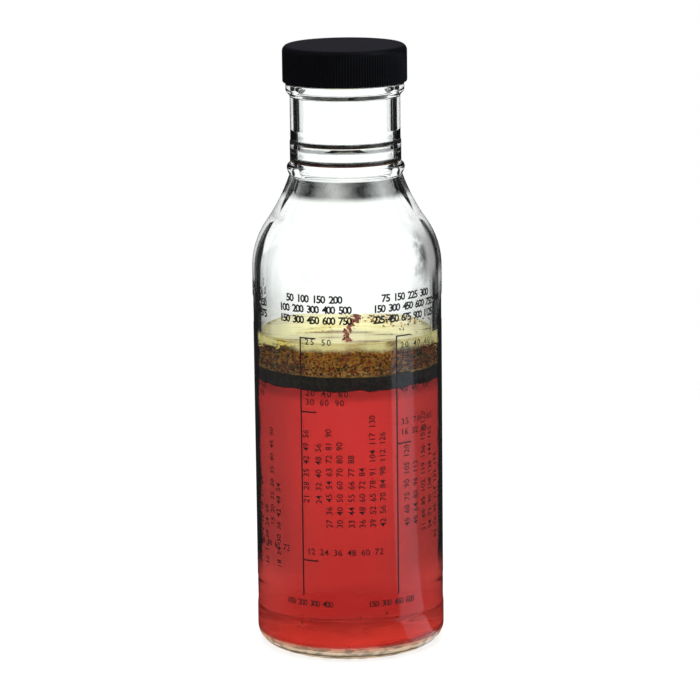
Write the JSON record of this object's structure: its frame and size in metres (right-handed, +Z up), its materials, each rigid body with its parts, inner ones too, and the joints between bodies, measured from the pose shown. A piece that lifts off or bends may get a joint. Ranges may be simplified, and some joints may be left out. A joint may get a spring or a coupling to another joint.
{
  "type": "salad dressing shaker bottle",
  "caption": "Ring-neck glass dressing bottle with printed measuring scales, a ribbed screw cap with a sealing liner, and layered vinegar, herbs, spice and oil inside.",
  "frame": {"origin": "centre of the base on the surface that the bottle stands on", "axes": "+Z up along the bottle's axis, -Y towards the front of the label panel, between the two front scales"},
  "size_m": [0.0628, 0.0628, 0.2015],
  "materials": {
    "clear_glass": "polished",
    "cap_plastic": "satin",
    "liner_foam": "matte",
    "vinegar": "gloss",
    "soaked_herbs": "matte",
    "spice_flakes": "satin",
    "oil": "gloss",
    "black_enamel": "gloss"
  },
  "bodies": {
    "bottle": {"glass_bottle": "clear_glass", "red_vinegar": "vinegar", "herb_layer": "soaked_herbs", "spice_layer": "spice_flakes", "salad_oil": "oil", "printed_scales": "black_enamel"},
    "liner": {"cap_liner": "liner_foam"},
    "cap": {"screw_cap": "cap_plastic"}
  },
  "joints": [
    {"name": "cap_lift", "type": "slide", "parent": "bottle", "child": "liner", "axis": [0, 0, 1], "range_m": [0, 0.017]},
    {"name": "cap_turn", "type": "hinge", "parent": "liner", "child": "cap", "pos_m": [0, 0, 0.19], "axis": [0, 0, 1], "range_deg": [0, 1440]}
  ],
  "couplings": [
    {"joint": "cap_lift", "follows": "cap_turn", "m_per_rad": 0.00067376}
  ]
}
